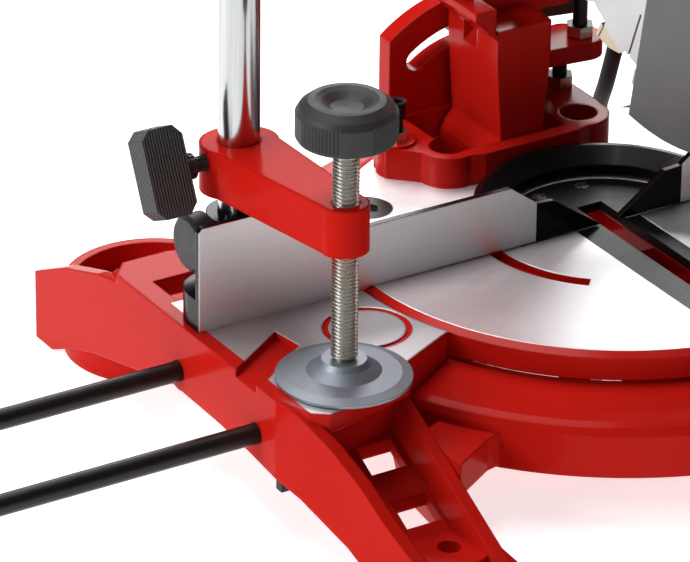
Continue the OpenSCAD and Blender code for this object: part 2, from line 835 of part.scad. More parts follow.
module bevel_pin() {
    color(STEEL) {
        rod_y(0, notch_y, fan_y + fan_t + 6, T, bevel_pin_r);
        slab_y(fan_y + fan_t, fan_y + fan_t + 6) translate([0, T]) hexagon(17);
    }
}

// tilting arm: bevel hub, column, yoke for the chop hinge and the stop lug
module cheek(foot) {
    translate([chop_y, chop_z]) circle(r = cheek_r);
    polygon([[80, foot], [99, foot], [chop_y + cheek_r - 0.6, chop_z], [chop_y - cheek_r + 0.6, chop_z]]);
}

module tilt_arm() {
    color(RED) difference() {
        union() {
            rod_y(0, hub_y0, hub_y1, T, bevel_hub_r);
            slab_y(hub_y0, hub_y1) translate([0, T]) polygon([[-15, 0], [-15.5, 5], [-10, 13],
                [-column_half, 46],
                [-column_half, 60], [column_half, 60], [column_half, 46], [10, 13], [15.5, 5], [15, 0]]);
            slab_y(hub_y0, 99) translate([0, T]) polygon([[-9, chin + 9], [-23, chin + 23], [-23, 70],
                [-13.5, 70],
                [-13.5, 59], [0, 59], [0, chin + 9]]);
            block([-12, 80, T + 56], [right_cheek[1], 99, T + 68]);
            slab_x(left_cheek[0], left_cheek[1]) cheek(T + 67);
            slab_x(right_cheek[0], right_cheek[1]) {
                cheek(T + 58);
                translate([latch_y, latch_z]) circle(r = 9);
                polygon([[latch_y - 6, latch_z + 6.5], [chop_y - 11, chop_z + 11], [chop_y, chop_z],
                    [90, T + 62],
                    [80, T + 62], [latch_y - 3, latch_z - 8.5]]);
            }
            slab_z(T + 30.5, T + 38) {
                polygon([[column_half - 1, 79], [lug_x, lug_y - 9.5], [lug_x, lug_y + 9.5],
                    [column_half - 1, 97]]);
                translate([lug_x, lug_y]) circle(r = 9.5);
                translate([rod_x0, rod_y0 - 2]) circle(r = 6.5);
            }
        }
        rod_y(0, 40, 120, T, bevel_pin_r + running);
        rod_x(-60, 60, chop_y, chop_z, chop_pin_r);
        rod_x(0, 60, latch_y, latch_z, latch_r + running);
        rod_z(lug_x, lug_y, T, T + 60, 3);
        rod_y(lock_x, 86, 120, T + lock_h, lock_bolt_r + running);
        slab_y(stop_y - stop_head_r - 0.8, stop_y + stop_head_r + 0.8) translate([0, T])
            polygon([[-20, chin + 20.1],
            [-20, seat_line - 20], [(chin - seat_line) / 2 + 0.05, (chin + seat_line) / 2 + 0.05]]);
    }
}

// adjusting screw and nut in the arm's lug
module arm_stop_screw() {
    color(BLACK) {
        rod_z(lug_x, lug_y, T + 27.5, T + 64, 3);
        translate([lug_x, lug_y, T + 38]) linear_extrude(5) hexagon(10);
    }
}

// lever behind the bracket that locks the bevel angle
module bevel_lock_lever() {
    back = fan_y + fan_t + seat;
    color(BLACK) {
        rod_y(lock_x, 87, back + 6, T + lock_h, lock_bolt_r);
        rod_y(lock_x, back, back + 15, T + lock_h, 10);
        slab_y(back + 5, back + 14) translate([lock_x, T + lock_h]) polygon([[-7, 5], [8, 8], [50, 8],
            [56, 4], [57, -5],
            [52, -11], [8, -7]]);
    }
}

module chop_pin() {
    color(STEEL) {
        rod_x(left_cheek[0] - 3, right_cheek[1] + 5, chop_y, chop_z, chop_pin_r);
        rod_x(left_cheek[0] - 3, left_cheek[0], chop_y, chop_z, 9);
        slab_x(right_cheek[1], right_cheek[1] + 5) translate([chop_y, chop_z]) hexagon(17);
    }
}

// torsion spring on the chop pin, with a leg on the arm and a leg on the head
spring_r = 8.6;
spring_wire = 1.1;
spring_turns = 4;
spring_pitch = 2.8;
spring_x = tongue_right + 1.8 + spring_wire;

spring_path = concat([[spring_x, chop_y - spring_r, chop_z - 26],
    [spring_x, chop_y - spring_r, chop_z - 9]],
    [for (i = [0:8 * spring_turns]) let (a = 180 + 45 * i)
        [spring_x + spring_pitch * i / 8, chop_y + spring_r * cos(a), chop_z - spring_r * sin(a)]],
    [[spring_x + spring_pitch * spring_turns, chop_y - spring_r, chop_z + 10]]);

function least_gap(p, r, apart) = min([for (i = [0:len(p) - 1]) for (j = [i + apart:1:len(p) - 1])
    norm(p[i] - p[j])]) - 2 * r;

module return_spring() {
    color(STEEL) tube(spring_path, spring_wire, 6);
}

// pin that holds the head down for carrying
module latch_pin() {
    color(BLACK) {
        rod_x(right_cheek[0] + 0.5, right_cheek[1] + 13, latch_y, latch_z, latch_r);
        rod_x(right_cheek[1] + 13, right_cheek[1] + 25, latch_y, latch_z, 9);
    }
}

// blade housing with the link to the chop hinge
module link_outline() {
    translate([chop_y, chop_z]) circle(r = 15);
    translate([chop_y - 23.9, chop_z - 3.3]) circle(r = 9);
    translate([0, T]) polygon([[58, 95], [66.3, 88], [90, 92], [104, 101], [84, 160], [66, 184],
        [50, 184], [48, 118]]);
}

module blade_housing() {
    color(RED) difference() {
        union() {
            slab_x(-house_x, house_x) translate([blade_y, blade_z]) sector(-45, 150, house_out);
            slab_x(tongue_left, tongue_right) difference() {
                link_outline();
                translate([blade_y, blade_z]) circle(r = house_out - 1, $fn = 128);
            }
            rod_x(tongue_left, 20, chop_y - 23.9, chop_z - 3.3, 9);
            slab_x(-house_x, house_x) difference() {
                translate([0, T]) polygon([[30, 124], [62, 120], [76, 150], [64, 182], [30, 198]]);
                translate([blade_y, blade_z]) circle(r = house_out - 1, $fn = 128);
            }
        }
        slab_x(-house_x + house_wall, house_x - house_wall) translate([blade_y, blade_z])
            sector(-47, 152, house_in);
        rod_x(-40, 0, blade_y, blade_z, 32);
        rod_x(0, 40, blade_y, blade_z, nose_r - running);
        rod_x(-40, 40, chop_y, chop_z, chop_pin_r + running);
        rod_x(-40, 40, chop_y - 23.9, chop_z - 3.3, latch_r + 0.3);
        rod_y(0, 36, 120, blade_z + 60, 11);
    }
}

// gear case on the right of the blade, with the nose that the moving guard turns on
module case_outline(grow) {
    translate([blade_y, blade_z]) circle(r = 36 + grow);
    translate([motor_y, motor_z]) circle(r = 30 + grow);
    translate([blade_y, blade_z]) rotate(gear_line) translate([0, -27 - grow])
        square([axle_gap, 54 + 2 * grow]);
}

module gear_case() {
    color(GREY) difference() {
        union() {
            slab_x(case_x0, case_x1) case_outline(0);
            rod_x(6.8, case_x0, blade_y, blade_z, nose_r - running);
        }
        slab_x(case_x0 + 8, case_x1 - 9) case_outline(-2.5);
        rod_x(0, case_x1 - 2, blade_y, blade_z, arbor_r + 1);
        rod_x(case_x0 - 6, case_x0 + 9, blade_y, blade_z, bearing_r);
        rod_x(case_x1 - 10, case_x1 - 2, blade_y, blade_z, bearing_r);
        rod_x(case_x0 + 3, case_x0 + 9, motor_y, motor_z, rotor_bearing_r);
        rod_x(case_x1 - 10, case_x1 + 1, motor_y, motor_z, rotor_r + 4);
        rod_x(case_x1 - 12, case_x1 + 1, blade_y - 12, blade_z - 18, 4 + running);
    }
}

module motor_housing() {
    color(BLACK) difference() {
        rod_x(case_x1, motor_x1, motor_y, motor_z, motor_r);
        rod_x(case_x1 + 5, motor_x1 + 1, motor_y, motor_z, motor_r - motor_wall);
        rod_x(case_x1 - 1, case_x1 + 6, motor_y, motor_z, rotor_r + 4);
        for (a = [-50:20:50]) translate([0, motor_y, motor_z]) rotate([a, 0, 0])
            block([case_x1 + 8, -3, 20], [case_x1 + 24, 3, motor_r + 10]);
    }
}

module motor_cap() {
    color(BLACK) difference() {
        translate([motor_x1, motor_y, motor_z]) rotate([0, 90, 0]) rotate_extrude() polygon([[0, 0],
            [motor_r, 0],
            [motor_r, 12], [motor_r - 6, 20], [motor_r - 10, 22], [0, 22]]);
        rod_x(motor_x1 - 1, motor_x1 + 14, motor_y, motor_z, motor_r - motor_wall);
        rod_x(motor_x1 - 1, motor_x1 + 20, motor_y, motor_z, rotor_bearing_r);
        for (a = [0:30:330]) translate([0, motor_y, motor_z]) rotate([a, 0, 0])
            block([motor_x1 + 12, -2, 18], [cap_x1 + 1, 2, motor_r - 12]);
    }
}

// field winding on its iron stack
module stator() {
    color(COPPER) difference() {
        rod_x(case_x1 + 28, motor_x1 - 14, motor_y, motor_z, motor_r - motor_wall);
        rod_x(case_x1 + 20, motor_x1, motor_y, motor_z, 26);
        for (a = [0, 180]) translate([0, motor_y, motor_z]) rotate([a, 0, 0])
            block([case_x1 + 20, -8, 20], [motor_x1, 8, motor_r - 10]);
    }
}

module bearing(x0, x1, y, z, r_in, r_out) {
    difference() {
        rod_x(x0, x1, y, z, r_out);
        rod_x(x0 - 1, x1 + 1, y, z, r_in + running);
    }
}

module bearings() {
    color(STEEL) {
        bearing(case_x0 - 2, case_x0 + 6, blade_y, blade_z, arbor_r, bearing_r);
        bearing(case_x1 - 10, case_x1 - 2, blade_y, blade_z, arbor_r, bearing_r);
        bearing(case_x0 + 3, case_x0 + 8, motor_y, motor_z, rotor_r, rotor_bearing_r);
        bearing(motor_x1 + 14, motor_x1 + 20, motor_y, motor_z, rotor_r, rotor_bearing_r);
    }
}

// D handle in two halves on the rim of the blade housing
module handle_outline() {
    difference() {
        translate([0, T]) polygon([[-58, 270], [-60, 300], [-68, 316], [-84, 326], [-106, 331],
            [-128, 330], [-176, 304],
            [-184, 292], [-184, 276], [-170, 252], [-140, 215]]);
        translate([blade_y, blade_z]) circle(r = house_out, $fn = 128);
        translate([0, T]) polygon([[-86, 298], [-92, 305], [-100, 309], [-156, 295], [-162, 287],
            [-162, 270],
            [-150, 257], [-118, 270], [-94, 280]]);
    }
}

module trigger_frame() {
    translate([0, trigger_y, trigger_z]) rotate([grip_tilt, 0, 0]) children();
}

module handle_cuts() {
    trigger_frame() block([-trigger_w / 2 - seat, -trigger_len / 2 - seat, -4],
        [trigger_w / 2 + seat, trigger_len / 2 + seat, 16]);
    rod_x(-handle_w, -2, lock_off_y, lock_off_z, lock_off_r + running);
    for (p = handle_bolts) rod_x(-handle_w, handle_w, p[0], T + p[1], 2.5);
}

module handle_left() {
    color(BLACK) difference() {
        slab_x(-handle_w / 2, 0) handle_outline();
        handle_cuts();
    }
}

module handle_right() {
    color(BLACK) difference() {
        slab_x(0, handle_w / 2) handle_outline();
        handle_cuts();
    }
}

// screws that hold the halves of the handle together
module handle_screws() {
    color(ZINC) for (p = handle_bolts) rod_x(-handle_w / 2 + 2, handle_w / 2 - 2, p[0], T + p[1], 2.5);
}

module dust_port() {
    z = blade_z + 60;
    color(BLACK) difference() {
        union() {
            rod_y(0, 20, dust_y - 0.6, z, dust_r + 3);
            rod_y(0, dust_y - 8, dust_y + 2, z, dust_r - 0.6);
            rod_y(0, dust_y, dust_y + dust_len, z, dust_r);
        }
        rod_y(0, 0, 120, z, dust_r - 2);
        rod_x(-60, 60, blade_y, blade_z, house_out);
    }
}

module strain_relief() {
    color(BLACK) difference() {
        union() {
            translate([gland_x, cord_exit_y, gland_z]) rotate([90, 0, 0])
                cylinder(r1 = cord_r + 1.6, r2 = cord_r + 3, h = 32);
            rod_y(gland_x, 10, 27, gland_z, cord_r + 4.5);
        }
        rod_x(0, 300, motor_y, motor_z, motor_r);
    }
}

module trigger() {
    color(RED) trigger_frame() difference() {
        block([-trigger_w / 2, -trigger_len / 2, -7], [trigger_w / 2, trigger_len / 2, 8]);
        translate([-20, 0, -26]) rotate([0, 90, 0]) cylinder(r = 22, h = 40);
    }
}

module lock_off_button() {
    color(RED) rod_x(-handle_w / 2 - 4, -8, lock_off_y, lock_off_z, lock_off_r);
}

module spindle_lock() {
    color(BLACK) {
        rod_x(case_x1 - 6, case_x1 + 8, blade_y - 12, blade_z - 18, 4);
        rod_x(case_x1 + 7, case_x1 + 12, blade_y - 12, blade_z - 18, 6);
    }
}

// blade with a gullet before each tooth and four slots for its growth in heat
module saw_blade() {
    color(ZINC) translate([0, blade_y, blade_z]) {
        rotate([90, 0, 90]) translate([0, 0, -blade_t / 2]) linear_extrude(blade_t) difference() {
            union() {
                circle(r = blade_r - 9, $fn = 128);
                for (i = [0:teeth - 1]) rotate(360 / teeth * i) polygon([[blade_r - 16, 1],
                    [blade_r - 14, -16],
                    [blade_r - 6, -12], [blade_r - 1.5, -5], [blade_r - 0.5, 1]]);
            }
            circle(r = bore_r);
            for (a = [20:90:290]) rotate(a) translate([blade_r - 30, -0.6]) square([24, 1.2]);
        }
        for (i = [0:teeth - 1]) rotate([360 / teeth * i, 0, 0]) block([-1.2, blade_r - 7, 1],
            [1.2, blade_r - 0.4, 2.6]);
    }
}

module blade_flanges() {
    color(STEEL) difference() {
        union() {
            rod_x(-blade_t / 2 - flange_t, -blade_t / 2, blade_y, blade_z, flange_r);
            rod_x(blade_t / 2, blade_t / 2 + flange_t, blade_y, blade_z, flange_r);
            rod_x(-blade_t / 2, blade_t / 2, blade_y, blade_z, bore_r);
        }
        rod_x(-20, 20, blade_y, blade_z, 5);
    }
}

module blade_bolt() {
    color(BLACK) difference() {
        union() {
            rod_x(-blade_t / 2 - flange_t - 6, 18, blade_y, blade_z, 5);
            rod_x(-blade_t / 2 - flange_t - 6, -blade_t / 2 - flange_t, blade_y, blade_z, 9);
        }
        slab_x(-30, -blade_t / 2 - flange_t - 2) translate([blade_y, blade_z]) hexagon(6);
    }
}

module arbor_shaft() {
    color(STEEL) difference() {
        rod_x(blade_t / 2 + flange_t, case_x1 - 2.5, blade_y, blade_z, arbor_r);
        rod_x(0, 18, blade_y, blade_z, 5);
    }
}

// spur teeth with straight flanks and generous backlash
module gear_outline(n, phase) {
    r = gear_module * n / 2;
    p = 360 / n;
    polygon([for (i = [0:n - 1]) let (a = phase + p * i) each [
        (r - 1.3) * [cos(a - p * 0.29), sin(a - p * 0.29)],
        (r + 0.95) * [cos(a - p * 0.09), sin(a - p * 0.09)],
        (r + 0.95) * [cos(a + p * 0.09), sin(a + p * 0.09)],
        (r - 1.3) * [cos(a + p * 0.29), sin(a + p * 0.29)]]]);
}

module drive_gear() {
    color(STEEL) slab_x(case_x0 + 10, case_x0 + 20) translate([blade_y, blade_z]) difference() {
        gear_outline(gear_teeth, gear_line);
        circle(r = arbor_r);
    }
}

// armature with its shaft, pinion, fan and commutator
module rotor() {
    fan = motor_r - motor_wall - 4;
    color(COPPER) union() {
        translate([0, motor_y, motor_z]) rotate([90, 0, 90]) rotate_extrude() polygon([[0, case_x0 + 3.5],
            [rotor_r, case_x0 + 3.5], [rotor_r, case_x1 + 8], [fan, case_x1 + 8], [fan, case_x1 + 10],
            [rotor_r, case_x1 + 10], [rotor_r, case_x1 + 28], [24, case_x1 + 28], [24, motor_x1 - 16],
            [rotor_r, motor_x1 - 16], [rotor_r, motor_x1 - 12], [12, motor_x1 - 12], [12, motor_x1 + 6],
            [rotor_r, motor_x1 + 6], [rotor_r, motor_x1 + 19.5], [0, motor_x1 + 19.5]]);
        slab_x(case_x0 + 9.5, case_x0 + 20.5) translate([motor_y, motor_z])
            gear_outline(pinion_teeth, gear_line + 180 + 180 / pinion_teeth);
        for (a = [0:40:320]) translate([0, motor_y, motor_z]) rotate([a, 0, 0])
            block([case_x1 + 9, -1, 12], [case_x1 + 18, 1, fan - 1]);
    }
}

// guard that swings up as the head comes down
guard_from = -200;
guard_to = -80;

module moving_guard() {
    color(GREY) translate([0, blade_y, blade_z]) {
        for (x = [-guard_x, guard_x - guard_wall]) slab_x(x, x + guard_wall) difference() {
            union() {
                sector(guard_from, guard_to, guard_r);
                circle(r = nose_r + 6);
            }
            circle(r = x < 0 ? nose_r + 2 : nose_r);
        }
        slab_x(-guard_x, guard_x) difference() {
            sector(guard_from, guard_to, guard_r);
            circle(r = guard_r - guard_rim, $fn = 128);
        }
    }
}

// mains lead
module cord_drop() {
    color(BLACK) tube(lead(drop_route), cord_r, 8);
}

module cord_mid() {
    color(BLACK) tube(lead(mid_route), cord_r, 8);
}

module cord_floor() {
    color(BLACK) tube(lead(floor_route), cord_r, 8);
}

// coil: spirals in on the bench, climbs in half a turn and spirals out on top
coil_half = 24 * coil_turns;
coil_climb = 12;
coil_count = 2 * coil_half + coil_climb;

function coil_in(i) = i <= coil_half ? i : i <= coil_half + coil_climb ? coil_half : coil_count - i;

function coil_up(i) = let (s = min(max((i - coil_half) / coil_climb, 0), 1)) s * s * (3 - 2 * s);

function coil_point(i) = let (r = coil_r + coil_step - coil_step * coil_in(i) / 24, a = 90 - 15 * i)
    [coil_x + r * cos(a), coil_y + r * sin(a), 4 + coil_step * coil_up(i)];

coil_path = concat([coil_point(0) - [cord_d, 0, 0]], [for (i = [0:coil_count]) coil_point(i)],
    [coil_point(coil_count) - [cord_d, 0, 0]]);

module cord_coil() {
    color(BLACK) tube(coil_path, cord_r, 6);
}

module cord_plug() {
    color(BLACK) translate(coil_point(coil_count) - [cord_d, 0, 0]) rotate([0, -90, 0]) {
        cylinder(r1 = cord_r + 1.5, r2 = 8, h = 14);
        translate([-plug_r, -plug_w / 2, 14]) cube([2 * plug_r, plug_w, 24]);
        for (y = [-9.5, 9.5]) translate([0, y, 38]) cylinder(r = 2.4, h = 19);
    }
}

echo(coil_gap = least_gap(coil_path, cord_r, 12), spring_gap = least_gap(spring_path, spring_wire, 5));

base_casting();
mitre_scale();
pivot_bolt();
fence();
fence_bolts();
left_support_bar();
right_support_bar();
left_bar_screw();
right_bar_screw();
clamp_pillar();
pillar_lock_knob();
clamp_arm();
clamp_thumbscrew();
clamp_spindle();
clamp_knob();
clamp_pad();
turntable();
kerf_insert();
insert_screws();
table_screws();
mitre_lock_knob();
hinge_bracket();
bracket_bolts();
bevel_stop_45();
bevel_stop_0();
bevel_pin();
tilt_arm();
arm_stop_screw();
bevel_lock_lever();
chop_pin();
return_spring();
latch_pin();
blade_housing();
gear_case();
motor_housing();
motor_cap();
stator();
bearings();
handle_left();
handle_right();
handle_screws();
dust_port();
strain_relief();
trigger();
lock_off_button();
spindle_lock();
saw_blade();
blade_flanges();
blade_bolt();
arbor_shaft();
drive_gear();
rotor();
moving_guard();
cord_drop();
cord_mid();
cord_floor();
cord_coil();
cord_plug();
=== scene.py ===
import bpy
import numpy as np
from mathutils import Matrix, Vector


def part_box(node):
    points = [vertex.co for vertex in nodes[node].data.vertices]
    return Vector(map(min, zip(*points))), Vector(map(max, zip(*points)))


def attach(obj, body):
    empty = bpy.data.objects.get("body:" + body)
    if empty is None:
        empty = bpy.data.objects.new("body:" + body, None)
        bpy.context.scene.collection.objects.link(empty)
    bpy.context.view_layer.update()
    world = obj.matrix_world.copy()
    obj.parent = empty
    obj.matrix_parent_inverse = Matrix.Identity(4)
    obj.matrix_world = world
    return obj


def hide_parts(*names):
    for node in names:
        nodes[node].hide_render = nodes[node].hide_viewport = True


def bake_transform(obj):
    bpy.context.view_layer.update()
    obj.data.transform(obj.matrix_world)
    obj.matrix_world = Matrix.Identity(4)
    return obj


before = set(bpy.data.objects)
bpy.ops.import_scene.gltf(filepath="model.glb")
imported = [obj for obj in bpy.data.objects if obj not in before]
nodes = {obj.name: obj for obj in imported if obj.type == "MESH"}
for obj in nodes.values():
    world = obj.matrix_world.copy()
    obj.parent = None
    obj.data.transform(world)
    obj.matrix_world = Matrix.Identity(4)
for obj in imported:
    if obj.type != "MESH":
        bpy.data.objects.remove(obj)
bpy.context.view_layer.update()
MM = 0.001
T = 56
TABLE = T * MM

# The studio: a pale floor under the bench line and broad soft lights. The key light stands to the left,
# so faces that look left and up are bright and faces that look to the front stay dark.
AZIMUTH, ELEVATION, ROLL = np.radians([31.8629, 26.8508, 0.6542])
DISTANCE = 2.0
AIM = np.array([-0.1147173, 0.0094375, TABLE])

ahead = np.array([np.sin(AZIMUTH) * np.cos(ELEVATION), np.cos(AZIMUTH) * np.cos(ELEVATION), -np.sin(ELEVATION)])
level = np.array([np.cos(AZIMUTH), -np.sin(AZIMUTH), 0.0])
upright = np.cross(level, ahead)
across = np.cos(ROLL) * level + np.sin(ROLL) * upright
above = np.cos(ROLL) * upright - np.sin(ROLL) * level

camera_data = bpy.data.cameras.new("camera")
camera_data.lens = 5254.7 * 36 / 690
camera_data.sensor_width = 36
camera_data.sensor_fit = "HORIZONTAL"
camera_data.clip_end = 50
camera = bpy.data.objects.new("camera", camera_data)
turn = np.eye(4)
turn[:3, 0], turn[:3, 1], turn[:3, 2], turn[:3, 3] = across, above, -ahead, AIM - DISTANCE * ahead
camera.matrix_world = Matrix(turn.tolist())
bpy.context.scene.collection.objects.link(camera)
bpy.context.scene.camera = camera
bpy.context.scene.view_settings.view_transform = "Standard"


def softbox(name, place, towards, size, power):
    """A square lamp of the given side, turned so that its face looks at a point."""
    data = bpy.data.lights.new(name, "AREA")
    data.shape = "RECTANGLE"
    data.size, data.size_y = size
    data.energy = power
    lamp = bpy.data.objects.new(name, data)
    out = np.array(place, float) - np.array(towards, float)
    out /= np.linalg.norm(out)
    side = np.cross([0.0, 1.0, 0.0] if abs(out[2]) > 0.95 else [0.0, 0.0, 1.0], out)
    side /= np.linalg.norm(side)
    turn = np.eye(4)
    turn[:3, 0], turn[:3, 1], turn[:3, 2], turn[:3, 3] = side, np.cross(out, side), out, place
    lamp.matrix_world = Matrix(turn.tolist())
    bpy.context.scene.collection.objects.link(lamp)
    return lamp


softbox("key_light", (-2.0, 0.1, 1.0), (-0.05, 0.0, 0.1), (1.0, 1.0), 25)
softbox("top_light", (-0.2, 0.6, 1.9), (0.0, 0.0, 0.1), (1.4, 1.2), 30)
softbox("back_card", (1.7, 2.3, 1.35), (0.0, 0.0, 0.1), (1.6, 1.3), 40)

world = bpy.data.worlds.new("studio_air")
world.use_nodes = True
world.node_tree.nodes["Background"].inputs["Color"].default_value = (1, 1, 1, 1)
world.node_tree.nodes["Background"].inputs["Strength"].default_value = 0.06
bpy.context.scene.world = world


class Value:
    """A socket in a finish's node tree. Arithmetic on it adds Math nodes."""

    def __init__(self, finish, socket):
        self.finish, self.socket = finish, socket

    def math(self, operation, *others, swap=False):
        parts = [self, *others][:: -1 if swap else 1]
        return self.finish.node("ShaderNodeMath", {"operation": operation}, *parts)

    def __add__(self, other):
        return self.math("ADD", other)

    def __sub__(self, other):
        return self.math("SUBTRACT", other)

    def __rsub__(self, other):
        return self.math("SUBTRACT", other, swap=True)

    def __mul__(self, other):
        return self.math("MULTIPLY", other)

    def __truediv__(self, other):
        return self.math("DIVIDE", other)

    def __gt__(self, other):
        return self.math("GREATER_THAN", other)

    def __lt__(self, other):
        return self.math("LESS_THAN", other)

    def __abs__(self):
        return self.math("ABSOLUTE")

    def sin(self):
        return self.math("SINE")

    def root(self):
        return self.math("SQRT")

    __radd__, __rmul__ = __add__, __mul__


class Finish:
    """A surface finish. `node` adds any node: its settings first, then values or links by place or socket name."""

    def __init__(self, name, metallic=0.0, roughness=0.5, coat=0.0, specular=0.5, colour=(0.5, 0.5, 0.5)):
        self.mat = bpy.data.materials.new(name)
        self.mat.use_nodes = True
        self.tree = self.mat.node_tree
        self.skin = self.tree.nodes["Principled BSDF"]
        self.set("Metallic", metallic)
        self.set("Roughness", roughness)
        self.set("Coat Weight", coat)
        self.set("Coat Roughness", 0.06)
        self.set("Specular IOR Level", specular)
        self.set("Base Color", colour)

    def feed(self, socket, value):
        if isinstance(value, Value):
            self.tree.links.new(value.socket, socket)
        elif isinstance(value, tuple) and len(value) == 3 and len(socket.default_value) == 4:
            socket.default_value = (*value, 1.0)
        else:
            socket.default_value = value

    def set(self, name, value):
        self.feed(self.skin.inputs[name], value)

    def node(self, kind, settings=None, *places, out=0, **named):
        made = self.tree.nodes.new(kind)
        for key, value in (settings or {}).items():
            if key == "stops":
                ramp = made.color_ramp.elements
                for stop, (position, colour) in enumerate(value):
                    element = ramp[stop] if stop < 2 else ramp.new(position)
                    element.position, element.color = position, (*colour, 1.0)
            else:
                setattr(made, key, value)
        for place, value in enumerate(places):
            self.feed(made.inputs[place], value)
        for name, value in named.items():
            self.feed(made.inputs[name.replace("_", " ")], value)
        return Value(self, made.outputs[out])

    def place(self):
        """Where a point is on the saw, in metres: its x, y, z and the point itself."""
        point = self.node("ShaderNodeTexCoord", out=3)
        split = self.node("ShaderNodeSeparateXYZ", None, point)
        return [Value(self, o) for o in split.socket.node.outputs] + [point]

    def noise(self, scale, detail=2.0, stretch=(1.0, 1.0, 1.0)):
        """Cloudy value from 0 to 1 with features of 1 / scale metres, drawn out along an axis by stretch."""
        point = self.node("ShaderNodeTexCoord", out=3)
        if stretch != (1.0, 1.0, 1.0):
            point = self.node("ShaderNodeVectorMath", {"operation": "MULTIPLY"}, point, stretch)
        return self.node("ShaderNodeTexNoise", None, Vector=point, Scale=scale, Detail=detail)

    def mix(self, share, first, second):
        """Colour that runs from first to second as share goes from 0 to 1."""
        made = self.tree.nodes.new("ShaderNodeMix")
        made.data_type = "RGBA"
        self.feed(made.inputs["Factor"], share)
        self.feed(made.inputs[6], first)
        self.feed(made.inputs[7], second)
        return Value(self, made.outputs[2])

    def relief(self, height, strength, depth, edge=0.0):
        """Bump of the given depth, over edges that are rounded by a small radius."""
        base = {}
        if edge:
            base["Normal"] = self.node("ShaderNodeBevel", {"samples": 6}, Radius=edge)
        self.set("Normal", self.node("ShaderNodeBump", None, Height=height, Strength=strength, Distance=depth, **base))


def dress(finish, *names):
    for name in names:
        nodes[name].data.materials.clear()
        nodes[name].data.materials.append(finish.mat)


FLOOR = Finish("studio_floor", roughness=0.9, specular=0.0, colour=(0.85, 0.85, 0.85))
FLOOR.set("Emission Color", (1.0, 1.0, 1.0))
FLOOR.set("Emission Strength", 0.72)
floor_mesh = bpy.data.meshes.new("floor")
corners = np.array([[-1, -1], [1, -1], [1, 1], [-1, 1]]) * 6.0
floor_mesh.from_pydata([(x, y, 0.0) for x, y in corners], [], [(0, 1, 2, 3)])
floor_mesh.materials.append(FLOOR.mat)
floor = bpy.data.objects.new("floor", floor_mesh)
bpy.context.scene.collection.objects.link(floor)

# The mains lead: a round rubber flex that leaves the back of the motor, hangs behind the head, drops to the
# bench behind the turntable and lies coiled beside the right rear foot, with its plug next to the coil.
CORD_R = 3.5 * MM
RUBBER = Finish("flex_rubber", roughness=0.5, specular=0.1)
RUBBER.set("Base Color", RUBBER.mix(RUBBER.noise(200), (0.008, 0.008, 0.008), (0.015, 0.014, 0.014)))
RUBBER.relief(RUBBER.noise(900), 0.25, 0.0002)

drop_route = np.array([[112, 54, T + 194], [112, 68, T + 194], [112, 88, T + 187], [111, 104, T + 168],
                       [109, 113, T + 144], [107, 119, T + 118], [105, 123, T + 98]]) * MM
mid_route = np.array([[105, 123, T + 98], [103, 127, T + 78], [101, 130, T + 58], [99, 132, T + 38],
                      [97, 134, T + 18]]) * MM
floor_route = np.array([[97, 134, T + 18], [95, 136, T - 2], [95, 141, 38], [98, 149, 26], [103, 157, 16],
                        [112, 165, 8], [126, 170, 4.5], [146, 171, 4], [176, 170, 4], [214, 170, 4],
                        [250, 170, 4]]) * MM


def smooth_run(points, fine):
    """Curve through the points: on each stretch the usual cubic whose slope at a point is half the step between
    its two neighbours. The first and last stretch stay straight."""
    inner = points[1:-1]
    before = np.vstack([inner[:1], inner[:-2]])
    after = np.vstack([inner[2:], inner[-1:]])
    b, c = inner[:-1], inner[1:]
    s = np.linspace(0, 1, fine, endpoint=False)[:, None, None]
    curve = 0.5 * (2 * b + (c - before) * s + (2 * before - 5 * b + 4 * c - after) * s**2
                   + (3 * b - before - 3 * c + after) * s**3)
    curve = curve.transpose(1, 0, 2).reshape(-1, 3)
    ends = np.linspace(0, 1, fine, endpoint=False)[:, None]
    first = points[0] + (points[1] - points[0]) * ends
    last = points[-2] + (points[-1] - points[-2]) * np.append(ends, 1.0)[:, None]
    return np.vstack([first, curve, last])


def sweep(path, radius, sides):
    """Tube: a ring of points at the radius round each point of the path, each ring square to the path, with its
    start direction carried along so that the tube doesn't twist. Returns the points and the faces."""
    path = np.asarray(path)
    ahead = np.gradient(path, axis=0)
    ahead /= np.linalg.norm(ahead, axis=1)[:, None]
    side = np.zeros_like(path)
    start = np.cross(ahead[0], [0.3, 0.2, 0.93])
    side[0] = start / np.linalg.norm(start)
    for i in range(1, len(path)):
        carried = side[i - 1] - ahead[i] * (side[i - 1] @ ahead[i])
        side[i] = carried / np.linalg.norm(carried)
    other = np.cross(ahead, side)
    angle = np.linspace(0, 2 * np.pi, sides, endpoint=False)
    ring = np.cos(angle)[None, :, None] * side[:, None] + np.sin(angle)[None, :, None] * other[:, None]
    points = (path[:, None] + np.broadcast_to(radius, len(path))[:, None, None] * ring).reshape(-1, 3)
    i, j = np.meshgrid(np.arange(len(path) - 1), np.arange(sides), indexing="ij")
    a, b = i * sides + j, i * sides + (j + 1) % sides
    quads = np.stack([a, b, b + sides, a + sides], axis=-1).reshape(-1, 4)
    return points, quads, [list(range(sides))[::-1], list(range(len(points) - sides, len(points)))]


def piece(name, points, quads, caps, finish, smooth=True):
    """New object from points, four-cornered faces and end caps."""
    mesh = bpy.data.meshes.new(name)
    mesh.from_pydata(points.tolist(), [], quads.tolist() + caps)
    mesh.polygons.foreach_set("use_smooth", np.r_[np.full(len(quads), smooth), np.zeros(len(caps), bool)])
    mesh.materials.append(finish.mat)
    made = bpy.data.objects.new(name, mesh)
    bpy.context.scene.collection.objects.link(made)
    return made


